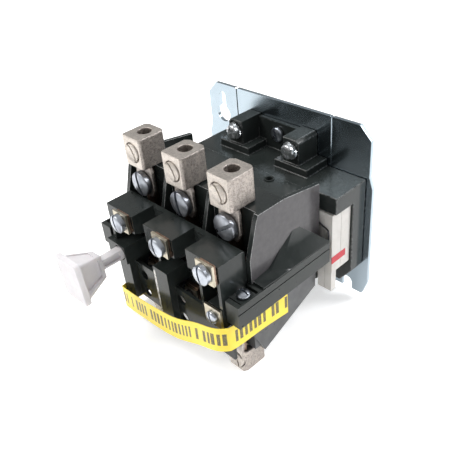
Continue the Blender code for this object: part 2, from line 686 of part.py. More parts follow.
def pole_parts(number, x):
    line_lug(number, x)
    clamp_screw(f"line_clamp_screw_{number}", (x, CLAMP_Z), LUG_FRONT - 0.6, WIRE_HOLE_Y - WIRE_HOLE_RADIUS)
    slot_turn = 36.0 if number == 3 else STEEP_SLOT
    screw(f"line_terminal_screw_{number}", (x, BIG_SCREW_Z), BIG_SCREW_RADIUS, -71.3, 3.8, 2.5, 8.0, 1.6,
          (slot_turn,))
    line_strap(number, x)
    load_strap(number, x)
    moving_contact(number, x)
    right = x + TERMINAL_SHIFT
    screw(f"heater_screw_upper_{number}", (right, HEATER_UPPER_Z), 4.7, -93.1, 3.6, 1.6, 8.0, 1.1,
          (STEEP_SLOT,), plate=(5.2, 1.2))
    screw(f"heater_screw_lower_{number}", (right, HEATER_LOWER_Z), 2.8, -80.5, 2.0, 1.6, 4.6, 0.9,
          plate=(4.0, 1.2))
    overload_strap(number, right)
    load_lug(number, right)
    load_face = LOAD_LUG_FRONT
    clamp_screw(f"load_clamp_screw_{number}", (right, LOAD_CLAMP_Z), load_face - 0.6, load_face + 5.5)
    screw(f"load_terminal_screw_{number}", (right, LOAD_SCREW_Z), 4.0, -81.3, 2.6, 1.9, 4.0)


def small_fasteners():
    screw("plate_screw", (0.0, 31.6), 4.0, -4.9, 2.2, 2.0, 4.3, 1.2, (STEEP_SLOT,))
    for side, word in ((-1, "left"), (1, "right")):
        screw(f"coil_terminal_screw_{word}", (side * 19.0, 33.2), 3.7, -18.3, 2.6, 2.0, 9.0, 0.9,
              (20.0, 110.0), washer=(4.5, 1.0))
        head = [(3.2, -1.4), (3.0, 0.0), (1.8, 1.1), (0.6, 1.4)]
        sections = [[(a, b, z) for a, b in circle(side * 46.6, -81.0, r)] for r, z in head]
        adds = [loft(sections), rod("Z", (side * 46.6, -81.0), 1.6, -11.0, -1.0, 16)]
        cuts = [block((side * 46.6 - 4, side * 46.6 + 4), (-81.5, -80.5), (0.4, 3))]
        build(f"housing_screw_{word}", zinc(), adds, cuts)
    screw("control_terminal_screw", (37.0, CONTROL_TERMINAL_Z), 3.2, -91.6, 2.0, 1.6, 7.0, 0.9, (STEEP_SLOT,),
          plate=(5.2, 1.2))


def main():
    for thing in list(bpy.data.objects):
        bpy.data.objects.remove(thing)
    mounting_plate()
    base_moulding()
    arc_housing()
    overload_housing()
    lower_housing()
    electromagnet()
    contact_carrier()
    for number, x in POLES.items():
        pole_parts(number, x)
    small_fasteners()
    aux_contact_block()
    reset_plunger()
    coil_spring("reset_spring", (RESET_X, RESET_Z), 2.9, 0.35, -85.2, -77.8, 4, BAY_FLOOR)
    coil_spring("kickout_spring", (28.5, MAGNET_Z), 2.8, 0.4, -35.4, -5.6, 8, -5.0)
    trip_parts()
    label_tape()


main()
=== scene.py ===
"""Looks for the three-pole open magnetic motor starter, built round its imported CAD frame.

The frame is in metres: X right, -Y the front, Z up, origin at the back of the mounting plate. Shapes
below are given in millimetres and made in metres.
"""

import json
import math

import bmesh
import bpy
from mathutils import Matrix, Vector, noise

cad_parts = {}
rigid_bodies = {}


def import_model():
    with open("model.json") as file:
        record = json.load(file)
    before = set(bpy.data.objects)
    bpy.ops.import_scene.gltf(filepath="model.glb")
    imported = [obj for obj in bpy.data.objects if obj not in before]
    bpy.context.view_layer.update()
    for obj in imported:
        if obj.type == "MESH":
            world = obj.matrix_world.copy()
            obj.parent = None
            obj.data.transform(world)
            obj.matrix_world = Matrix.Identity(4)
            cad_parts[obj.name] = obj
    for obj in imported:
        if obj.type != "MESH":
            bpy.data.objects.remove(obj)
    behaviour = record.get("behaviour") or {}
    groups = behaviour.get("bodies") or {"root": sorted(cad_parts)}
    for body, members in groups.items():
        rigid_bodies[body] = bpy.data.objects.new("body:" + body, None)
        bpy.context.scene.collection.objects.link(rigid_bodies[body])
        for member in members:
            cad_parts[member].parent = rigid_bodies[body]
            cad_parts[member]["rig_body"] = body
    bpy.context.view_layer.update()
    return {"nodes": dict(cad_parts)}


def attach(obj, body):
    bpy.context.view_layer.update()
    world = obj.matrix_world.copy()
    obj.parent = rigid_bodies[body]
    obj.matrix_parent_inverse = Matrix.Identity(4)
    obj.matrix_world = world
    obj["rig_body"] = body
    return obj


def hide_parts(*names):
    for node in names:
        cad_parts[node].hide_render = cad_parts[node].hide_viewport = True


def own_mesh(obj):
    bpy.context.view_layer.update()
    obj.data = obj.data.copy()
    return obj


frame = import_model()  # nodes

MM = 0.001
SHARP = math.radians(34)  # edges that turn more than this stay sharp, or are rounded

# The part's own places, in millimetres.
POLES = {1: -30.0, 2: 0.0, 3: 30.0}
LOAD_SHIFT = 7.0  # the load side of each pole stands this far to the right of its line side
LINE_LUG_TOP = 49.0
LINE_LUG_FRONT = -75.0
LOAD_LUG_BOTTOM = -53.3
LOAD_LUG_FRONT = -81.2
CLAMP_PROUD = 0.6
CLAMP_LENGTH = 6.1
LEDGE_BOTTOM = -13.0
WALL_SIDE = 45.0
BUTTON = (-32.0, -9.5)
BUTTON_TURN = math.radians(5)
TROUGH_HOLE = (17.6, -31.4)
FLOOR_Z = -0.0535  # in metres, just under the lowest lug


# ---------------------------------------------------------------- materials


class Look:
    """A Principled material whose layers are all procedural and lie in object space."""

    def __init__(self, name, metallic=0.0, **inputs):
        self.material = bpy.data.materials.new(name)
        self.material.use_nodes = True
        self.tree = self.material.node_tree
        self.shader = self.tree.nodes["Principled BSDF"]
        self.place = self.tree.nodes.new("ShaderNodeTexCoord").outputs["Object"]
        self.shader.inputs["Metallic"].default_value = metallic
        for key, value in inputs.items():
            self.shader.inputs[key.replace("_", " ")].default_value = value

    def put(self, socket, value):
        if isinstance(value, bpy.types.NodeSocket):
            self.tree.links.new(value, socket)
        elif isinstance(value, tuple) and len(value) == 3 and socket.type == "RGBA":
            socket.default_value = (*value, 1.0)
        else:
            socket.default_value = value

    def node(self, kind, out=0, **inputs):
        """A new node with these inputs, given by name or by _number, and its output."""
        made = self.tree.nodes.new(kind)
        for key, value in inputs.items():
            if key.startswith("set_"):
                setattr(made, key[4:], value)
        for key, value in inputs.items():
            if key.startswith("set_"):
                continue
            socket = made.inputs[int(key[1:])] if key[0] == "_" else made.inputs[key.replace("_", " ")]
            self.put(socket, value)
        return made.outputs[out]

    def stretched(self, stretch):
        return self.node("ShaderNodeMapping", Vector=self.place, Scale=stretch)

    def noise(self, size, detail=3.0, rough=0.5, stretch=None):
        """Noise with features about size millimetres across."""
        place = self.place if stretch is None else self.stretched(stretch)
        scale = 1 / (size * MM)
        return self.node("ShaderNodeTexNoise", Vector=place, Scale=scale, Detail=detail, Roughness=rough)

    def span(self, value, from_low, from_high, low, high):
        """value mapped from one range to another, and held inside it."""
        return self.node("ShaderNodeMapRange", _0=value, _1=from_low, _2=from_high, _3=low, _4=high)

    def sum(self, kind, a, b):
        return self.node("ShaderNodeMath", set_operation=kind, _0=a, _1=b)

    def mix(self, share, a, b):
        return self.node("ShaderNodeMix", 2, set_data_type="RGBA", Factor=share, _6=a, _7=b)

    def axis(self, which):
        return self.node("ShaderNodeSeparateXYZ", "XYZ".index(which), Vector=self.place)

    def facing(self, which):
        """1 where the surface faces along this axis of the frame."""
        normal = self.node("ShaderNodeNewGeometry", 1)
        return self.node("ShaderNodeSeparateXYZ", "XYZ".index(which), Vector=normal)

    def inside(self, which, low, high, soft=0.15):
        """1 between two places along an axis, in millimetres."""
        along = self.axis(which)
        rises = self.span(along, (low - soft) * MM, (low + soft) * MM, 0.0, 1.0)
        falls = self.span(along, (high - soft) * MM, (high + soft) * MM, 1.0, 0.0)
        return self.sum("MULTIPLY", rises, falls)

    def relief(self, *layers):
        """Bump layers, each (height socket, strength, depth in millimetres)."""
        normal = None
        for height, strength, depth in layers:
            given = {"Strength": strength, "Distance": depth * MM, "Height": height}
            if normal is not None:
                given["Normal"] = normal
            normal = self.node("ShaderNodeBump", **given)
        self.put(self.shader.inputs["Normal"], normal)

    def done(self, colour, roughness):
        self.put(self.shader.inputs["Base Color"], colour)
        self.put(self.shader.inputs["Roughness"], roughness)
        return self.material


def phenolic(name, deep, worn, gloss, dust, flecks=False, side=None, ledge=None):
    """Moulded phenolic: a skin that varies a little in gloss, fine dust on top, rubbed patches.

    side is a paler, mottled painted sheen on the outer wall at the right, where it faces +X; ledge the tint
    above the side ledge's underside.
    """
    look = Look(name, IOR=1.5, Specular_IOR_Level=0.30)
    clouds = look.noise(9.0, 4.0, 0.6)
    colour = look.mix(look.span(clouds, 0.35, 0.7, 0.0, 1.0), deep, worn)
    # Painted sheen: the right outer wall, where it faces +X, is painted paler and mottled.
    if side:
        outward = look.span(look.facing("X"), 0.6, 0.9, 0.0, 1.0)
        outward = look.sum("MULTIPLY", outward, look.inside("X", WALL_SIDE - 1.0, WALL_SIDE + 0.12, 0.04))
        mottle = look.span(look.noise(3.0, 6.0, 0.65), 0.3, 0.7, 0.65, 1.0)
        colour = look.mix(look.sum("MULTIPLY", outward, mottle), colour, side)
    if ledge:
        colour = look.mix(look.inside("Z", LEDGE_BOTTOM, 5.0, 0.1), colour, ledge)
    upward = look.span(look.facing("Z"), 0.3, 1.0, 0.0, 1.0)
    specks = look.span(look.noise(0.8, 6.0, 0.7), 0.55, 0.74, 0.0, 1.0)
    powder = look.sum("MULTIPLY", look.sum("MULTIPLY", upward, specks), dust)
    colour = look.mix(powder, colour, (0.20, 0.20, 0.19))
    rubs = look.noise(2.5, 6.0, 0.65, (1.0, 1.0, 0.35))
    scuffs = look.sum("MULTIPLY", look.span(rubs, 0.62, 0.76, 0.0, 1.0), 0.08 + dust * 0.3)
    colour = look.mix(scuffs, colour, (0.12, 0.12, 0.12))
    if flecks:
        strip = look.sum("MULTIPLY", look.inside("X", -7.8, -6.0), look.inside("Z", -40.0, -9.5, 0.8))
        strip = look.sum("MULTIPLY", strip, look.span(look.axis("Y"), -0.0895, -0.0889, 1.0, 0.0))
        chips = look.span(look.noise(1.0, 5.0, 0.7, (1.0, 1.0, 0.5)), 0.42, 0.50, 0.0, 1.0)
        colour = look.mix(look.sum("MULTIPLY", strip, chips), colour, (0.70, 0.68, 0.64))
    rough = look.span(look.noise(5.0, 5.0, 0.6), 0.3, 0.7, gloss, gloss + 0.10)
    rough = look.sum("ADD", rough, look.sum("MULTIPLY", powder, 0.5))
    look.relief(
        (look.noise(5.0, 2.0), 0.08, 0.10),
        (look.noise(0.35, 3.0), 0.08, 0.02),
        (rubs, 0.05, 0.03),
    )
    return look.done(colour, rough)


def worn_and_highlit_edge(name, tone):
    """The rubbed edges of a moulding, paler than its faces in broken stretches: partly wear, partly a painted
    highlight along the rounded edges.
    """
    look = Look(name, IOR=1.5)
    breaks = look.span(look.noise(1.8, 6.0, 0.7), 0.40, 0.62, 0.0, 1.0)
    colour = look.mix(breaks, tuple(c * 0.35 for c in tone), tone)
    look.relief((look.noise(0.5, 4.0), 0.2, 0.03))
    return look.done(colour, look.span(breaks, 0.0, 1.0, 0.16, 0.34))


def plated(name, light, dark, gloss, grain=(1.0, 1.0, 1.0), spangle=0.25, spotted=0.35, cloud=14.0,
           varied=0.14):
    """Zinc or nickel plate over steel: cloudy, with fine drawn lines."""
    look = Look(name, metallic=1.0)
    clouds = look.noise(cloud, 5.0, 0.6)
    colour = look.mix(look.span(clouds, 0.3, 0.7, 0.0, 1.0), dark, light)
    lines = look.noise(0.5, 4.0, 0.6, grain)
    colour = look.mix(look.span(lines, 0.55, 0.8, 0.0, spangle), colour, dark)
    spots = look.span(look.noise(1.6, 6.0, 0.7), 0.64, 0.74, 0.0, spotted)
    colour = look.mix(spots, colour, tuple(c * 0.55 for c in dark))
    rough = look.span(look.noise(3.0, 5.0, 0.6), 0.3, 0.7, gloss, gloss + varied)
    rough = look.sum("ADD", rough, look.sum("MULTIPLY", spots, 0.5))
    look.relief((lines, 0.10, 0.02), (look.noise(6.0, 2.0), 0.12, 0.08))
    return look.done(colour, rough)


def cast_tin(name, pits, rough_low, rough_high, warm=(0.80, 0.72, 0.64)):
    """Tin plated cast brass: grain and dark pits where it is as cast, fine marks where it is cut."""
    look = Look(name, metallic=1.0)
    grains = look.noise(0.60, 5.0, 0.68)
    coarse = look.noise(1.3, 5.0, 0.65)
    clouds = look.noise(4.0, 4.0, 0.6)
    colour = look.mix(look.span(clouds, 0.3, 0.7, 0.0, 1.0), warm, tuple(c * 0.80 for c in warm))
    shaded = look.span(look.sum("ADD", grains, look.sum("MULTIPLY", coarse, 0.6)), 0.66, 0.88, 1.0, 0.0)
    colour = look.mix(look.sum("MULTIPLY", shaded, pits), colour, tuple(c * 0.42 for c in warm))
    rough = look.span(grains, 0.3, 0.7, rough_low, rough_high)
    look.relief(
        (coarse, 0.6 * pits, 0.25),
        (grains, 0.25 + 0.6 * pits, 0.14),
        (look.noise(0.2, 2.0), 0.2, 0.03),
    )
    return look.done(colour, rough)


def moulded_white(name, light, tint, glow):
    """White plastic with faint clouds and a little grime; glow is how much light passes under its skin."""
    look = Look(name, Subsurface_Weight=glow, Subsurface_Scale=0.004, IOR=1.46)
    look.shader.inputs["Subsurface Radius"].default_value = (1.0, 0.8, 0.7)
    clouds = look.span(look.noise(7.0, 5.0, 0.6), 0.35, 0.7, 0.0, 1.0)
    colour = look.mix(clouds, light, tint)
    grime = look.span(look.noise(1.4, 6.0, 0.7), 0.60, 0.76, 0.0, 0.35)
    colour = look.mix(grime, colour, tuple(c * 0.62 for c in tint))
    rough = look.span(look.noise(2.5, 4.0), 0.3, 0.7, 0.34, 0.52)
    look.relief((look.noise(0.4, 3.0), 0.12, 0.03), (look.noise(5.0, 2.0), 0.12, 0.08))
    return look.done(colour, rough)


def copper(name, light, dark):
    """Strap copper, dulled in patches, with fine drawn lines."""
    look = Look(name, metallic=1.0)
    colour = look.mix(look.span(look.noise(3.0, 6.0, 0.65), 0.35, 0.68, 0.0, 1.0), light, dark)
    rough = look.span(look.noise(1.5, 5.0), 0.3, 0.7, 0.24, 0.44)
    look.relief((look.noise(0.4, 4.0, 0.6, (0.2, 1.0, 1.0)), 0.15, 0.02))
    return look.done(colour, rough)


def laminated_steel(name):
    """A stack of core sheets, with their edges showing as fine ridges."""
    look = Look(name, metallic=1.0)
    sheets = look.node("ShaderNodeTexWave", 1, Vector=look.place, Scale=110.0, Distortion=0.4, Detail=2.0,
                       set_bands_direction="Z")
    stains = look.span(look.noise(2.0, 6.0, 0.7), 0.4, 0.7, 0.0, 1.0)
    colour = look.mix(stains, (0.40, 0.41, 0.43), (0.20, 0.17, 0.15))
    rough = look.span(sheets, 0.0, 1.0, 0.32, 0.55)
    look.relief((sheets, 0.5, 0.06), (look.noise(0.5, 4.0), 0.2, 0.03))
    return look.done(colour, rough)


def coil_wrap(name):
    """Red-brown coil tape, wound in ridges."""
    look = Look(name)
    turns = look.node("ShaderNodeTexWave", 1, Vector=look.place, Scale=55.0, Distortion=1.2, Detail=2.0,
                      set_bands_direction="Y")
    colour = look.mix(look.span(turns, 0.2, 0.8, 0.0, 1.0), (0.16, 0.03, 0.02), (0.30, 0.07, 0.04))
    look.relief((turns, 0.5, 0.12), (look.noise(0.5, 3.0), 0.2, 0.03))
    return look.done(colour, look.span(look.noise(2.0), 0.3, 0.7, 0.30, 0.50))


def tape_print(name):
    """Yellow vinyl with a row of plain dashes where print would be; they hold no lettering."""
    look = Look(name, IOR=1.5)
    uv = look.tree.nodes.new("ShaderNodeTexCoord").outputs["UV"]
    along = look.node("ShaderNodeSeparateXYZ", 0, Vector=uv)
    across = look.node("ShaderNodeSeparateXYZ", 1, Vector=uv)
    pitch = 3.0
    step = look.sum("DIVIDE", along, pitch)
    place = look.node("ShaderNodeMath", set_operation="FRACT", _0=step)
    number = look.node("ShaderNodeMath", set_operation="FLOOR", _0=step)
    chance = look.node("ShaderNodeTexWhiteNoise", 0, set_noise_dimensions="1D", W=number)
    shown = look.sum("GREATER_THAN", chance, 0.16)
    ends = look.sum("ADD", 0.50, look.sum("MULTIPLY", chance, 0.38))
    bar = look.sum("MULTIPLY", look.sum("LESS_THAN", place, ends), look.sum("GREATER_THAN", place, 0.12))
    row = look.sum("MULTIPLY", look.sum("GREATER_THAN", across, 0.26), look.sum("LESS_THAN", across, 0.76))
    mark = look.sum("MULTIPLY", look.sum("MULTIPLY", bar, row), shown)
    wear = look.span(look.noise(0.5, 5.0, 0.7), 0.36, 0.5, 0.55, 0.95)
    faded = look.span(look.noise(9.0, 4.0), 0.35, 0.7, 0.0, 1.0)
    yellow = look.mix(faded, (0.94, 0.74, 0.05), (0.87, 0.66, 0.04))
    colour = look.mix(look.sum("MULTIPLY", mark, wear), yellow, (0.035, 0.03, 0.03))
    look.relief((look.noise(6.0, 3.0), 0.25, 0.3), (look.noise(0.6, 3.0), 0.05, 0.02))
    return look.done(colour, look.span(look.noise(3.0, 4.0), 0.3, 0.7, 0.28, 0.42))


def paint_red(name):
    """The red paint of the index mark, thin in places."""
    look = Look(name)
    thin = look.span(look.noise(1.0, 5.0), 0.45, 0.7, 0.0, 1.0)
    colour = look.mix(thin, (0.52, 0.015, 0.03), (0.40, 0.02, 0.035))
    look.relief((look.noise(0.4, 3.0), 0.15, 0.03))
    return look.done(colour, look.span(look.noise(1.5), 0.3, 0.7, 0.35, 0.5))


def dark_oxide(name):
    """The dark oxide of a thin steel clip."""
    look = Look(name, metallic=1.0)
    colour = look.mix(look.noise(1.0, 5.0), (0.10, 0.10, 0.11), (0.04, 0.04, 0.045))
    look.relief((look.noise(0.3, 3.0), 0.2, 0.02))
    return look.done(colour, look.span(look.noise(1.2), 0.3, 0.7, 0.25, 0.45))


def floor_paper(name):
    """White paper, lit from behind a little so that it stays white beside the dark mouldings."""
    look = Look(name, Emission_Strength=0.55)
    look.shader.inputs["Emission Color"].default_value = (1.0, 1.0, 1.0, 1.0)
    colour = look.mix(look.noise(60.0, 3.0), (0.90, 0.90, 0.90), (0.92, 0.92, 0.92))
    look.relief((look.noise(1.2, 3.0), 0.02, 0.05))
    return look.done(colour, look.span(look.noise(30.0), 0.3, 0.7, 0.65, 0.8))


DEEP = (0.017, 0.021, 0.020)
PALE = (0.025, 0.029, 0.028)
BLACK = phenolic("phenolic_black", DEEP, PALE, 0.14, 0.06)
# The right outer wall carries a painted sheen, paler where it faces +X.
WALL = phenolic("phenolic_black_wall_painted_sheen", DEEP, PALE, 0.14, 0.06, side=(0.088, 0.083, 0.087))
FLECKED = phenolic("phenolic_black_flecked", DEEP, PALE, 0.14, 0.06, True)
GREY = phenolic("phenolic_dusty", (0.076, 0.078, 0.080), (0.115, 0.117, 0.120), 0.26, 0.20,
                ledge=(0.020, 0.024, 0.022))
# Pale edges: partly wear, partly painted highlight along the rounded edges.
EDGE = worn_and_highlit_edge("phenolic_edge", (0.070, 0.076, 0.075))
GREY_EDGE = worn_and_highlit_edge("phenolic_dusty_edge", (0.16, 0.16, 0.16))
# Painted highlight: the arc housing's rounded edges are painted bright, broken in stretches.
BRIGHT_EDGE = worn_and_highlit_edge("phenolic_edge_painted_highlight", (0.40, 0.41, 0.41))
ZINC = plated("zinc_sheet", (0.42, 0.49, 0.54), (0.36, 0.43, 0.48), 0.20, (0.06, 1.0, 1.0), 0.12,
              spotted=0.06, cloud=30.0, varied=0.04)
SCREW = plated("zinc_fastener", (0.56, 0.59, 0.64), (0.34, 0.37, 0.42), 0.24)
TERMINAL = plated("zinc_terminal_screw", (0.50, 0.52, 0.56), (0.26, 0.28, 0.32), 0.30, spotted=0.6, cloud=5.0)
BRIGHT = plated("zinc_small_screw", (0.84, 0.86, 0.87), (0.58, 0.60, 0.62), 0.26, spotted=0.5, cloud=2.5)
# Painted shade: the screws down in the dark bays are painted near black.
SCREW_IN_PAINTED_SHADE = plated("zinc_screw_painted_shade", (0.10, 0.10, 0.105), (0.05, 0.05, 0.055), 0.42)
BRASSY = plated("brassy_plate", (0.62, 0.57, 0.46), (0.40, 0.36, 0.28), 0.26)
CAST = cast_tin("tin_as_cast", 0.9, 0.40, 0.60, (0.60, 0.54, 0.495))
CUT = cast_tin("tin_machined", 0.45, 0.42, 0.58, (0.76, 0.70, 0.64))
WHITE = moulded_white("moulding_white", (0.62, 0.60, 0.57), (0.54, 0.52, 0.49), 0.12)
KNOB = moulded_white("knob_white", (0.72, 0.70, 0.72), (0.64, 0.62, 0.64), 0.10)
STRAP = copper("copper_strap", (0.36, 0.25, 0.19), (0.17, 0.11, 0.08))
STEEL = laminated_steel("core_laminations")
WRAP = coil_wrap("coil_wrapping")
SPRING = plated("spring_wire", (0.62, 0.62, 0.62), (0.40, 0.40, 0.42), 0.20)
TAPE = tape_print("tape_vinyl")
RED = paint_red("red_print")
DARK_WIRE = dark_oxide("dark_wire")
FLOOR = floor_paper("floor_paper")


# ---------------------------------------------------------------- shapes


def shade(mesh, weighed=True):
    """Smooth shading up to SHARP. When weighed, the larger faces lead at each corner, so that flat ones stay
    flat beside rounded edges.
    """
    mesh.shade_smooth()
    mesh.set_sharp_from_angle(angle=SHARP)
    if not weighed:
        return
    cosine = math.cos(SHARP)
    faces = [(Vector(face.normal), face.area, tuple(face.vertices)) for face in mesh.polygons]
    around = [[] for _ in mesh.vertices]
    for normal, area, corners in faces:
        for vert in corners:
            around[vert].append((normal, area))
    normals = []
    for normal, _, corners in faces:
        for vert in corners:
            total = Vector((0.0, 0.0, 0.0))
            for other, area in around[vert]:
                if other.dot(normal) > cosine:
                    total += other * area
            normals.append(total.normalized())
    mesh.normals_split_custom_set(normals)


def mesh_object(name, bm, materials, weighed=True):
    """An object from a bmesh, which is freed, with these materials."""
    bmesh.ops.recalc_face_normals(bm, faces=bm.faces)
    mesh = bpy.data.meshes.new(name)
    bm.to_mesh(mesh)
    bm.free()
    made = bpy.data.objects.new(name, mesh)
    bpy.context.scene.collection.objects.link(made)
    for given in materials:
        mesh.materials.append(given)
    shade(mesh, weighed)
    return made


def extruded(outline, axis, low, high):
    """A bmesh prism, in metres, from an outline in millimetres; as in the part's own source."""
    place = {
        "X": lambda a, b, along: (along, a, b),
        "Y": lambda a, b, along: (a, along, b),
        "Z": lambda a, b, along: (a, b, along),
    }[axis]
    bm = bmesh.new()
    ends = [[bm.verts.new(Vector(place(a, b, at)) * MM) for a, b in outline] for at in (low, high)]
    bm.faces.new(ends[0])
    bm.faces.new(ends[1])
    for i in range(len(outline)):
        j = (i + 1) % len(outline)
        bm.faces.new((ends[0][i], ends[0][j], ends[1][j], ends[1][i]))
    return bm


def box_mesh(x, y, z):
    return extruded([(x[0], y[0]), (x[1], y[0]), (x[1], y[1]), (x[0], y[1])], "Z", *z)


def lofted(sections):
    """A closed bmesh through rings of points, in millimetres."""
    bm = bmesh.new()
    rings = [[bm.verts.new(Vector(p) * MM) for p in section] for section in sections]
    for before, after in zip(rings, rings[1:]):
        for i in range(len(before)):
            j = (i + 1) % len(before)
            bm.faces.new((before[i], before[j], after[j], after[i]))
    bm.faces.new(rings[0])
    bm.faces.new(rings[-1])
    return bm


def turned(centre, profile, count=48, axis="Y"):
    """A solid of revolution along an axis from (radius, along) pairs."""
    sections = []
    for radius, along in profile:
        ring = []
        for i in range(count):
            t = 2 * math.pi * i / count
            a, b = centre[0] + radius * math.cos(t), centre[1] + radius * math.sin(t)
            ring.append((a, along, b) if axis == "Y" else (a, b, along))
        sections.append(ring)
    return lofted(sections)


def ease(bm, width, segments=2, edge_slot=-1):
    """Rounds the edges that have room for it, by width in millimetres; the new faces take edge_slot."""
    room = width * MM

    def crowded(vert):
        return any(edge.calc_length() < 2.1 * room for edge in vert.link_edges)

    chosen = [
        edge
        for edge in bm.edges
        if len(edge.link_faces) == 2
        and edge.calc_face_angle(0.0) > SHARP
        and not crowded(edge.verts[0])
        and not crowded(edge.verts[1])
    ]
    if chosen:
        bmesh.ops.bevel(bm, geom=chosen, offset=room, offset_type="OFFSET", segments=segments, profile=0.5,
                        affect="EDGES", clamp_overlap=True, material=edge_slot)
    return bm


def combined(name, base, tools, operation="DIFFERENCE"):
    """base with the tool meshes cut from it or joined to it. All are bmeshes."""
    made = mesh_object(name, base, [], False)
    helpers = [mesh_object(f"{name}_tool", tool, [], False) for tool in tools]
    for helper in helpers:
        modifier = made.modifiers.new("Boolean", "BOOLEAN")
        modifier.operation = operation
        modifier.solver = "EXACT"
        modifier.object = helper
    graph = bpy.context.evaluated_depsgraph_get()
    result = bmesh.new()
    result.from_object(made, graph)
    for helper in [made, *helpers]:
        mesh = helper.data
        bpy.data.objects.remove(helper)
        bpy.data.meshes.remove(mesh)
    return result


def copy_of(node):
    """The node's mesh with its flat faces whole again."""
    bm = bmesh.new()
    bm.from_mesh(frame["nodes"][node].data)
    bmesh.ops.remove_doubles(bm, verts=bm.verts, dist=2e-6)
    bmesh.ops.dissolve_limit(bm, angle_limit=math.radians(0.6), verts=bm.verts, edges=bm.edges)
    return bm


BODY_OF = {node: o["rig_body"] for node, o in frame["nodes"].items()}


def place(piece, node, slot):
    """The piece stands for this CAD node, on its body; slot is not used."""
    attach(piece, BODY_OF[node])
    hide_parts(node)
    return piece


def refine(node, slot, material, width, segments=2, edge=None):
    """A copy of a CAD node with its edges rounded, in its better material and maybe another at the edges."""
    bm = copy_of(node)
    for face in bm.faces:
        face.material_index = 0
    bm = ease(bm, width, segments, edge_slot=1 if edge else -1)
    piece = mesh_object(f"{node}_finished", bm, [material, edge] if edge else [material])
    return place(piece, node, slot)


# ---------------------------------------------------------------- pieces


def slot_cut(centre, radius, front, depth, width, turn):
    """A cutter for a screw's slot, turned about the screw's own axis."""
    x, z = centre
    cos, sin = math.cos(turn), math.sin(turn)
    reach = radius + 1.0
    outline = []
    for a, b in ((-reach, -width / 2), (reach, -width / 2), (reach, width / 2), (-reach, width / 2)):
        outline.append((x + a * cos - b * sin, z + a * sin + b * cos))
    return extruded(outline, "Y", front - 1.0, front + depth)


def thread(profile, radius, low, high, pitch=0.8):
    """Adds the ridges of a threaded shank to a turned profile."""
    at = low
    while at + pitch < high:
        profile += [(radius, at), (radius * 0.86, at + pitch / 2)]
        at += pitch
    profile += [(radius, at), (radius * 0.7, high)]
    return profile


def append_mesh(piece, extra, index):
    """Moves the extra object's faces into the piece, with another material slot."""
    lift = bmesh.new()
    lift.from_mesh(piece.data)
    first = len(lift.faces)
    lift.from_mesh(extra.data)
    for face in list(lift.faces)[first:]:
        face.material_index = index
    lift.to_mesh(piece.data)
    lift.free()
    old = extra.data
    bpy.data.objects.remove(extra)
    bpy.data.meshes.remove(old)
    shade(piece.data)


def star_washer(centre, inner, reach, seat, thickness):
    """A flat ring with small teeth round its rim."""
    teeth = 22
    outline = []
    for i in range(teeth * 2):
        t = math.pi * i / teeth
        radius = reach if i % 2 else reach - 0.45
        outline.append((centre[0] + radius * math.cos(t), centre[1] + radius * math.sin(t)))
    ring = extruded(outline, "Y", seat + 0.02, seat + thickness - 0.02)
    hole = turned(centre, [(inner, seat - 1), (inner, seat + thickness + 1)], 24)
    return combined("washer", ring, [hole])


def machine_screw(node, centre, radius, seat, head, shank, length, slot, turn, plate=None, washer=None,
                  finish=SCREW):
    """A slotted screw along Y, its head in front, with a captive square plate or toothed washer if given."""
    front = seat - head
    x, z = centre
    lip = 0.35
    dome = 0.18 * head
    profile = [
        (radius * 0.25, front),
        (radius * 0.60, front + dome * 0.25),
        (radius - lip * 1.8, front + dome * 0.9),
        (radius - lip * 0.55, front + dome + lip * 0.6),
        (radius, front + dome + lip * 1.6),
        (radius, seat - 0.25),
        (radius - 0.2, seat - 0.02),
        (shank, seat),
    ]
    profile = thread(profile, shank, seat + 0.4, seat + length)
    angle = math.radians(turn)
    cuts = [slot_cut(centre, radius, front, head * 0.5, slot, angle)]
    if washer:
        cuts.append(slot_cut(centre, radius * 0.5, front, head * 0.5, slot, angle + math.pi / 2))
    piece = mesh_object(f"{node}_finished", combined(node, turned(centre, profile), cuts), [finish, BRASSY])
    if plate:
        half, thickness = plate
        square = box_mesh((x - half, x + half), (seat + 0.02, seat + thickness - 0.02), (z - half, z + half))
        hole = turned(centre, [(shank + 0.25, seat - 1), (shank + 0.25, seat + thickness + 1)], 24)
        extra = mesh_object("plate", combined("plate", ease(square, 0.3, 2), [hole]), [], False)
        extra.data.transform(turn_about(centre, 2.0 if node.endswith("2") else -1.5))
        append_mesh(piece, extra, 1)
    if washer:
        reach, thickness = washer
        extra = mesh_object("ring", star_washer(centre, shank + 0.25, reach, seat, thickness), [], False)
        append_mesh(piece, extra, 0)
    return place(piece, node, "zinc_screw")


def turn_about(centre, degrees):
    """A small turn about a screw's axis, as loose plates have."""
    middle = Vector((centre[0], 0.0, centre[1])) * MM
    turn = Matrix.Rotation(math.radians(degrees), 4, "Y")
    return Matrix.Translation(middle) @ turn @ Matrix.Translation(-middle)


def set_screw(node, centre, front, end, radius=4.8):
    """The headless clamp screw: dished face with a bright rim and a slot, threaded behind."""
    profile = [
        (0.6, front + 0.75),
        (radius - 1.5, front + 0.6),
        (radius - 0.75, front + 0.15),
        (radius - 0.45, front + 0.02),
        (radius - 0.15, front + 0.2),
        (radius - 0.05, front + 0.5),
    ]
    at = front + 0.9
    while at < end - 0.8:
        profile += [(radius, at), (radius - 0.28, at + 0.35)]
        at += 0.7
    profile += [(radius - 0.1, end - 0.5), (radius - 0.6, end)]
    slot = slot_cut(centre, radius, front, 1.5, 0.9, math.radians(-62))
    bm = combined(node, turned(centre, profile, 56), [slot])
    return place(mesh_object(f"{node}_finished", bm, [CUT]), node, "zinc_screw")


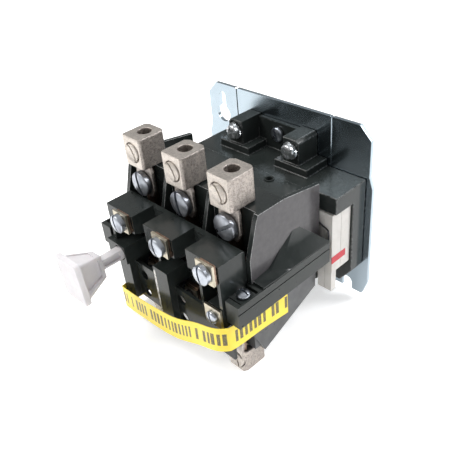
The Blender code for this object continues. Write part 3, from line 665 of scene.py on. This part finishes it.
def lug(node, top, front, toward):
    """A cast lug: the CAD shape softened as a casting, grained, with its cut faces smoother."""
    piece = mesh_object(f"{node}_finished", ease(copy_of(node), 0.55, 3), [CAST, CUT], False)
    remesh = piece.modifiers.new("Remesh", "REMESH")
    remesh.mode = "VOXEL"
    remesh.voxel_size = 0.36 * MM
    remesh.use_smooth_shade = True
    graph = bpy.context.evaluated_depsgraph_get()
    bm = bmesh.new()
    bm.from_object(piece, graph)
    old = piece.data
    bpy.data.objects.remove(piece)
    bpy.data.meshes.remove(old)
    for _ in range(2):
        bmesh.ops.smooth_vert(bm, verts=bm.verts, factor=0.5, use_axis_x=True, use_axis_y=True,
                              use_axis_z=True)
    bm.normal_update()
    shifts = []
    for vert in bm.verts:
        normal = vert.normal
        cut = max(normal.z * toward, -normal.y)
        share = 1.0 if cut < 0.7 else 0.18
        p = vert.co / MM
        height = noise.noise(p * 1.5) * 0.6 + noise.noise(p * 3.1) * 0.4
        shifts.append(normal * (height * 0.11 * share - 0.03) * MM)
    for vert, shift in zip(bm.verts, shifts):
        vert.co += shift
    bm.normal_update()
    for face in bm.faces:
        middle = face.calc_center_median() / MM
        top_face = face.normal.z * toward > 0.8 and (middle.z - top) * toward > -1.0
        front_face = face.normal.y < -0.8 and middle.y < front + 1.2
        face.material_index = 1 if top_face or front_face else 0
    made = mesh_object(f"{node}_finished", bm, [CAST, CUT], False)
    made.data.set_sharp_from_angle(angle=math.radians(180))
    return place(made, node, "tinned_lug")


def button_point(a, b):
    """A place across Y, given from the plunger's axis in the button's own turned directions."""
    cos, sin = math.cos(BUTTON_TURN), math.sin(BUTTON_TURN)
    return BUTTON[0] + a * cos - b * sin, BUTTON[1] + a * sin + b * cos


def button_ring(width, height, y, corner, count=5):
    """A rounded rectangle across Y, centred on the plunger and turned as the button is."""
    ring = []
    for quarter in range(4):
        sx = 1 if quarter in (0, 3) else -1
        sz = 1 if quarter in (0, 1) else -1
        for i in range(count):
            t = (quarter + i / (count - 1)) * math.pi / 2
            x, z = button_point(sx * (width / 2 - corner) + corner * math.cos(t),
                                sz * (height / 2 - corner) + corner * math.sin(t))
            ring.append((x, y, z))
    return ring


def wedge(near, far):
    """A cutter between two rings of four (a, b) corners, each given as (y, corners)."""
    sections = []
    for y, corners in (near, far):
        sections.append([(x, y, z) for x, z in (button_point(a, b) for a, b in corners)])
    return lofted(sections)


def reset_knob():
    """The push button: thick flange, tapered neck with a pocket in each side, square grooved stem."""
    flange = lofted([
        button_ring(18.9, 23.3, -118.9, 1.0),
        button_ring(19.4, 23.8, -119.2, 1.2),
        button_ring(19.4, 23.8, -121.5, 1.2),
        button_ring(18.8, 23.2, -122.0, 1.1),
    ])
    neck = lofted([
        button_ring(7.4, 12.6, -104.9, 0.5),
        button_ring(8.0, 13.2, -105.2, 0.7),
        button_ring(16.6, 21.0, -119.2, 0.8),
    ])
    pockets = []
    for side in (-1, 1):
        pockets.append(wedge(
            (-107.0, [(side * 2.6, -5.2), (side * 2.6, 5.2), (side * 7.0, 5.2), (side * 7.0, -5.2)]),
            (-117.9, [(side * 4.4, -8.6), (side * 4.4, 8.6), (side * 11.5, 8.6), (side * 11.5, -8.6)]),
        ))
        pockets.append(wedge(
            (-108.0, [(-3.0, side * 6.6), (3.0, side * 6.6), (3.0, side * 10.5), (-3.0, side * 10.5)]),
            (-117.6, [(-6.2, side * 9.4), (6.2, side * 9.4), (6.2, side * 14.0), (-6.2, side * 14.0)]),
        ))
    stem = lofted([
        button_ring(5.5, 5.5, -105.8, 0.4),
        button_ring(5.5, 5.5, -90.4, 0.4),
    ])
    grooves = [
        wedge(
            (-93.8, [(side * 1.5, -1.6), (side * 1.5, 1.6), (side * 4.0, 1.6), (side * 4.0, -1.6)]),
            (-103.8, [(side * 1.5, -1.6), (side * 1.5, 1.6), (side * 4.0, 1.6), (side * 4.0, -1.6)]),
        )
        for side in (-1, 1)
    ]
    guide_profile = [
        (1.6, -80.5),
        (2.0, -80.9),
        (2.0, -86.0),
        (3.5, -86.0),
        (3.85, -86.4),
        (3.85, -90.6),
        (3.5, -91.0),
    ]
    guide = turned(BUTTON, guide_profile, 40)
    neck = combined("neck", neck, pockets)
    stem = combined("stem", stem, grooves)
    whole = combined("knob", neck, [flange, stem, guide], "UNION")
    piece = mesh_object("reset_plunger_finished", ease(whole, 0.2, 2), [KNOB])
    return place(piece, "reset_plunger", "white_plastic")


def spring_coil(node, centre, radius, wire, start, end, turns, sides=10, per_turn=28):
    """A round-wire spring along Y with its end turns closed."""
    x, z = centre
    count = int(turns * per_turn)
    rise = (end - start) / count * per_turn / (2 * math.pi * radius)
    sections = []
    for i in range(count + 1):
        share = i / count
        eased = share - 0.035 * math.sin(2 * math.pi * share)
        t = 2 * math.pi * i / per_turn
        outward = Vector((math.cos(t), 0.0, math.sin(t)))
        middle = Vector((x, start + (end - start) * eased, z)) + outward * radius
        forward = Vector((-math.sin(t), rise, math.cos(t)))
        across = forward.normalized().cross(outward)
        sections.append([
            tuple(middle + (outward * math.cos(u) + across * math.sin(u)) * wire)
            for u in (2 * math.pi * k / sides for k in range(sides))
        ])
    piece = mesh_object(f"{node}_finished", lofted(sections), [SPRING], False)
    place(piece, node, "spring_steel")
    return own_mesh(piece)


def smooth_route(points, steps):
    """A smooth line through the points, with steps stretches between neighbours."""
    line = []
    last = len(points) - 1
    for i in range(last):
        p0, p1, p2, p3 = (Vector(points[max(0, min(last, k))]) for k in (i - 1, i, i + 1, i + 2))
        for s in range(steps):
            t = s / steps
            line.append(0.5 * (2 * p1 + (p2 - p0) * t + (2 * p0 - 5 * p1 + 4 * p2 - p3) * t * t
                               + (3 * p1 - p0 - 3 * p2 + p3) * t ** 3))
    line.append(Vector(points[-1]))
    return line


def tube(name, line, radius, sides=10):
    """A closed round wire along a line of points in millimetres."""
    sections = []
    for i, point in enumerate(line):
        ahead = (line[min(i + 1, len(line) - 1)] - line[max(i - 1, 0)]).normalized()
        side = ahead.cross(Vector((0, 1, 0))).normalized()
        lift = ahead.cross(side)
        steps = (2 * math.pi * k / sides for k in range(sides))
        sections.append([tuple(point + (side * math.cos(t) + lift * math.sin(t)) * radius) for t in steps])
    return mesh_object(name, lofted(sections), [DARK_WIRE])


def label_tape():
    """The loose band of tape, thin and closed, with its length along U and its width along V."""
    route = [
        (46.3, -53.0, -17.0),
        (46.3, -70.0, -15.2),
        (46.3, -88.0, -14.0),
        (45.0, -92.5, -13.6),
        (40.0, -95.5, -14.2),
        (28.0, -95.5, -18.5),
        (10.0, -95.5, -26.0),
        (-12.0, -95.0, -30.0),
        (-36.0, -92.5, -35.5),
        (-39.3, -90.5, -36.0),
        (-39.3, -80.0, -36.0),
    ]
    width, half_thickness, rows = 14.0, 0.12, 6
    line = smooth_route(route, 8)
    lengths = [0.0]
    for before, after in zip(line, line[1:]):
        lengths.append(lengths[-1] + (after - before).length)
    bm = bmesh.new()
    uv = bm.loops.layers.uv.new("tape")
    grid = []
    for i, point in enumerate(line):
        ahead = line[min(i + 1, len(line) - 1)] - line[max(i - 1, 0)]
        side = Vector((-ahead.y, ahead.x, 0)).normalized()
        columns = []
        for k in range(rows + 1):
            share = k / rows
            wave = 0.10 * math.sin(lengths[i] / 5.0 + 1.7 * share) * abs(share - 0.5)
            middle = point + Vector((0, 0, -width * share)) + side * wave
            pair = [bm.verts.new((middle + side * half_thickness * s) * MM) for s in (1, -1)]
            columns.append(pair)
        grid.append(columns)

    def face(corners):
        made = bm.faces.new([grid[i][k][s] for i, k, s in corners])
        for loop, (i, k, _) in zip(made.loops, corners):
            loop[uv].uv = (lengths[i], 1 - k / rows)

    last = len(grid) - 1
    for i in range(last):
        for k in range(rows):
            for s in (0, 1):
                face([(i, k, s), (i + 1, k, s), (i + 1, k + 1, s), (i, k + 1, s)])
        for k in (0, rows):
            face([(i, k, 0), (i + 1, k, 0), (i + 1, k, 1), (i, k, 1)])
    for i in (0, last):
        for k in range(rows):
            face([(i, k, 0), (i, k + 1, 0), (i, k + 1, 1), (i, k, 1)])
    piece = mesh_object("label_tape_finished", bm, [TAPE])
    place(piece, "label_tape", "yellow_tape")
    return piece


def aux_block():
    """The white auxiliary contact block: two halves with a seam, a stepped foot, a red index mark."""
    body = ease(box_mesh((42.7, 51.6), (-26.0, -12.1), (-21.0, 12.7)), 0.45, 3)
    foot = ease(box_mesh((42.9, 51.4), (-26.0, -22.3), (-33.0, -20.0)), 0.4, 3)
    seams = [
        box_mesh((47.0, 47.25), (-26.6, -25.75), (-34.0, 13.0)),
        box_mesh((47.0, 47.25), (-26.6, -11.0), (12.45, 13.4)),
        box_mesh((51.35, 52.0), (-19.3, -19.05), (-21.5, 13.0)),
        box_mesh((43.4, 44.6), (-26.6, -25.5), (2.0, 7.0)),
        box_mesh((42.0, 45.5), (-23.5, -14.5), (-16.0, 8.0)),
    ]
    bm = combined("aux", combined("aux", body, [foot], "UNION"), seams)
    piece = mesh_object("aux_contact_block_finished", bm, [WHITE])
    place(piece, "aux_contact_block", "white_plastic")
    mark = ease(box_mesh((51.4, 51.72), (-26.1, -15.5), (-15.4, -11.4)), 0.05, 1)
    bar = mesh_object("aux_index_mark", mark, [RED])
    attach(bar, "starter_frame")
    # The clip's wire runs over the block's front and down beside its corner.
    bend = [
        (43.2, -26.1, 6.4),
        (46.0, -26.3, 5.4),
        (48.8, -26.3, 4.2),
        (49.6, -26.3, 2.6),
        (49.7, -26.2, -4.0),
    ]
    wire = tube("aux_clip_wire", smooth_route(bend, 8), 0.4)
    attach(wire, "starter_frame")


def round_head(node, x, y):
    """A round-head screw standing along Z on the ledge."""
    profile = [
        (0.4, 1.4),
        (1.2, 1.32),
        (2.0, 1.05),
        (2.7, 0.55),
        (3.1, -0.2),
        (3.2, -0.9),
        (3.1, -1.36),
        (1.6, -1.4),
    ]
    at = -1.8
    while at > -10.4:
        profile += [(1.6, at), (1.35, at - 0.4)]
        at -= 0.8
    profile.append((1.1, -11.0))
    bm = combined(node, turned((x, y), profile, 40, "Z"),
                  [box_mesh((x - 4, x + 4), (y - 0.45, y + 0.45), (0.35, 3))])
    return place(mesh_object(f"{node}_finished", bm, [SCREW]), node, "zinc_screw")


def trough_ring():
    """The raised collar round the small hole in the trough behind the lugs."""
    x, y = TROUGH_HOLE
    profile = [(1.7, 22.9), (1.7, 23.5), (2.0, 23.7), (2.4, 23.6), (2.6, 22.9)]
    sides = 32
    angles = [2 * math.pi * i / sides for i in range(sides)]
    bm = bmesh.new()
    loops = [
        [bm.verts.new(Vector((x + radius * math.cos(t), y + radius * math.sin(t), z)) * MM) for t in angles]
        for radius, z in profile
    ]
    loops.append(loops[0])
    for before, after in zip(loops, loops[1:]):
        for i in range(sides):
            j = (i + 1) % sides
            bm.faces.new((before[i], before[j], after[j], after[i]))
    piece = mesh_object("trough_collar", bm, [BLACK])
    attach(piece, BODY_OF["arc_housing"])


# The kinds of screw, in millimetres. A plate is (half width, thickness), a washer (radius, thickness).
LINE_TERMINAL = dict(radius=6.4, seat=-71.3, head=3.8, shank=2.5, length=8.0, slot=1.7, finish=TERMINAL)
LOAD_TERMINAL = dict(radius=4.0, seat=-81.3, head=2.6, shank=1.9, length=4.0, slot=1.2, finish=TERMINAL)
HEATER_UPPER = dict(radius=4.7, seat=-93.1, head=3.6, shank=1.6, length=8.0, slot=1.1, plate=(5.2, 1.2))
# The lower heater screws take the painted shade of their recesses.
HEATER_LOWER = dict(radius=2.8, seat=-80.5, head=2.0, shank=1.6, length=4.6, slot=0.9, plate=(4.0, 1.2),
                    finish=SCREW_IN_PAINTED_SHADE)
CONTROL_TERMINAL = dict(radius=3.2, seat=-91.6, head=2.0, shank=1.6, length=7.0, slot=0.9, plate=(5.2, 1.2))
COIL_TERMINAL = dict(radius=3.7, seat=-18.3, head=2.6, shank=2.0, length=9.0, slot=0.9, washer=(4.5, 1.0),
                     finish=BRIGHT)
PLATE_FIXING = dict(radius=4.0, seat=-4.9, head=2.2, shank=2.0, length=4.3, slot=1.1)


def mouldings_and_core():
    """The large CAD shapes with their edges rounded."""
    refine("mounting_plate", "zinc_plate", ZINC, 0.22)
    refine("base_moulding", "black_phenolic", BLACK, 0.5, 3, EDGE)
    # The arc housing takes the painted edge highlight and, on its right wall, the painted sheen.
    refine("arc_housing", "black_phenolic", WALL, 0.4, 3, BRIGHT_EDGE)
    refine("overload_housing", "black_phenolic", FLECKED, 0.35, 3, EDGE)
    refine("lower_housing", "grey_phenolic", GREY, 0.4, 3, GREY_EDGE)
    refine("contact_carrier", "black_phenolic", BLACK, 0.3)
    refine("magnet_core", "core_steel", STEEL, 0.15)
    refine("armature", "core_steel", STEEL, 0.15)
    refine("trip_slide", "white_plastic", WHITE, 0.2)
    refine("trip_contact_lever", "copper_strap", STRAP, 0.12)


def pole(number, x):
    """The straps, lugs and screws of one pole, each slot at a turn of its own."""
    load_x = x + LOAD_SHIFT
    for stem in ("line_strap", "load_strap", "overload_strap", "moving_contact"):
        refine(f"{stem}_{number}", "copper_strap", STRAP, 0.15)
    lug(f"line_lug_{number}", LINE_LUG_TOP, LINE_LUG_FRONT, 1)
    lug(f"load_lug_{number}", LOAD_LUG_BOTTOM, LOAD_LUG_FRONT, -1)
    line_front = LINE_LUG_FRONT - CLAMP_PROUD
    load_front = LOAD_LUG_FRONT - CLAMP_PROUD
    set_screw(f"line_clamp_screw_{number}", (x, 41.0), line_front, line_front + CLAMP_LENGTH)
    set_screw(f"load_clamp_screw_{number}", (load_x, -47.0), load_front, load_front + CLAMP_LENGTH)
    line_turn = 36.0 if number == 3 else -72.0 - 3.0 * number
    machine_screw(f"line_terminal_screw_{number}", (x, 23.0), turn=line_turn, **LINE_TERMINAL)
    machine_screw(f"heater_screw_upper_{number}", (load_x, 13.5), turn=-70.0 - 3.0 * number, **HEATER_UPPER)
    machine_screw(f"heater_screw_lower_{number}", (load_x, -23.5), turn=20.0 + 31 * number, **HEATER_LOWER)
    machine_screw(f"load_terminal_screw_{number}", (load_x, -35.0), turn=50.0 + 23 * number, **LOAD_TERMINAL)


def build_pieces():
    mouldings_and_core()
    for number, x in POLES.items():
        pole(number, x)
    machine_screw("plate_screw", (0.0, 31.6), turn=-72.0, **PLATE_FIXING)
    machine_screw("coil_terminal_screw_left", (-19.0, 33.2), turn=20.0, **COIL_TERMINAL)
    machine_screw("coil_terminal_screw_right", (19.0, 33.2), turn=32.0, **COIL_TERMINAL)
    machine_screw("control_terminal_screw", (37.0, -12.0), turn=-75.0, **CONTROL_TERMINAL)
    round_head("housing_screw_left", -46.6, -81.0)
    round_head("housing_screw_right", 46.6, -81.0)
    aux_block()
    trough_ring()
    reset_knob()
    refine("coil", "coil_wrap", WRAP, 0.8, 3)
    spring_coil("reset_spring", BUTTON, radius=2.9, wire=0.35, start=-85.2, end=-77.8, turns=4)
    spring_coil("kickout_spring", (28.5, -1.5), radius=2.8, wire=0.4, start=-35.4, end=-5.6, turns=8)
    label_tape()


# ---------------------------------------------------------------- stage, light, camera


def stage_floor():
    """A wide round floor, finer towards its middle."""
    radius, rings, spokes = 5.0, 10, 64
    angles = [2 * math.pi * i / spokes for i in range(spokes)]
    bm = bmesh.new()
    centre = bm.verts.new((0, 0, FLOOR_Z))
    previous = None
    for k in range(1, rings + 1):
        r = radius * (k / rings) ** 2
        ring = [bm.verts.new((r * math.cos(t), r * math.sin(t), FLOOR_Z)) for t in angles]
        for i in range(spokes):
            j = (i + 1) % spokes
            if previous is None:
                bm.faces.new((centre, ring[i], ring[j]))
            else:
                bm.faces.new((previous[i], ring[i], ring[j], previous[j]))
        previous = ring
    floor = mesh_object("floor", bm, [FLOOR])
    if floor.data.polygons[0].normal.z < 0:
        floor.data.flip_normals()


def light_world():
    """An even sky, a little stronger overhead."""
    world = bpy.data.worlds.new("studio")
    bpy.context.scene.world = world
    world.use_nodes = True
    tree = world.node_tree
    background = tree.nodes["Background"]
    place = tree.nodes.new("ShaderNodeTexCoord")
    split = tree.nodes.new("ShaderNodeSeparateXYZ")
    ramp = tree.nodes.new("ShaderNodeMapRange")
    tree.links.new(place.outputs["Generated"], split.inputs[0])
    tree.links.new(split.outputs["Z"], ramp.inputs[0])
    ramp.inputs[1].default_value = 0.0
    ramp.inputs[2].default_value = 0.8
    ramp.inputs[3].default_value = 0.30
    ramp.inputs[4].default_value = 0.55
    tree.links.new(ramp.outputs[0], background.inputs["Strength"])
    background.inputs["Color"].default_value = (0.98, 0.99, 1.0, 1.0)


def area_light(name, place, target, size, power, colour=(1.0, 1.0, 1.0), mirrored=True):
    """A soft lamp. One that is not mirrored lights things without a reflection of itself."""
    data = bpy.data.lights.new(name, "AREA")
    data.shape = "RECTANGLE"
    data.size, data.size_y = size
    data.energy = power
    data.color = colour
    holder = bpy.data.objects.new(name, data)
    bpy.context.scene.collection.objects.link(holder)
    holder.location = place
    holder.visible_glossy = mirrored
    holder.rotation_euler = (Vector(target) - Vector(place)).to_track_quat("-Z", "Y").to_euler()


def light_object():
    """A soft key from the front left, a light from behind at the right, and one overhead."""
    middle = (0.0, -0.05, 0.0)
    area_light("key", (-0.35, -0.45, 0.60), middle, (0.35, 0.35), 3.4, (1.0, 0.98, 0.95))
    area_light("rim", (0.47, 0.42, 0.52), middle, (0.22, 0.22), 3.4, (0.97, 0.98, 1.0))
    area_light("top", (0.0, 0.1, 0.8), middle, (0.5, 0.3), 3.0, mirrored=False)


def place_camera():
    """The viewpoint: right of the front, looking down, the frame tipped a little."""
    azimuth, elevation, roll = (math.radians(d) for d in (49.58, 34.29, -6.14))
    back = Vector((math.sin(azimuth) * math.cos(elevation), -math.cos(azimuth) * math.cos(elevation),
                   math.sin(elevation)))
    right = (-back).cross(Vector((0, 0, 1))).normalized()
    up = right.cross(-back)
    turned_right = right * math.cos(roll) + up * math.sin(roll)
    turned_up = up * math.cos(roll) - right * math.sin(roll)
    data = bpy.data.cameras.new("camera")
    data.sensor_width = 36.0
    data.lens = 47.09
    data.clip_start = 0.001
    holder = bpy.data.objects.new("camera", data)
    bpy.context.scene.collection.objects.link(holder)
    holder.matrix_world = Matrix((turned_right, turned_up, back)).transposed().to_4x4()
    holder.location = (0.18967, -0.20903, 0.16707)
    bpy.context.scene.camera = holder


place_camera()
build_pieces()
stage_floor()
light_world()
light_object()
bpy.context.scene.view_settings.view_transform = "Standard"
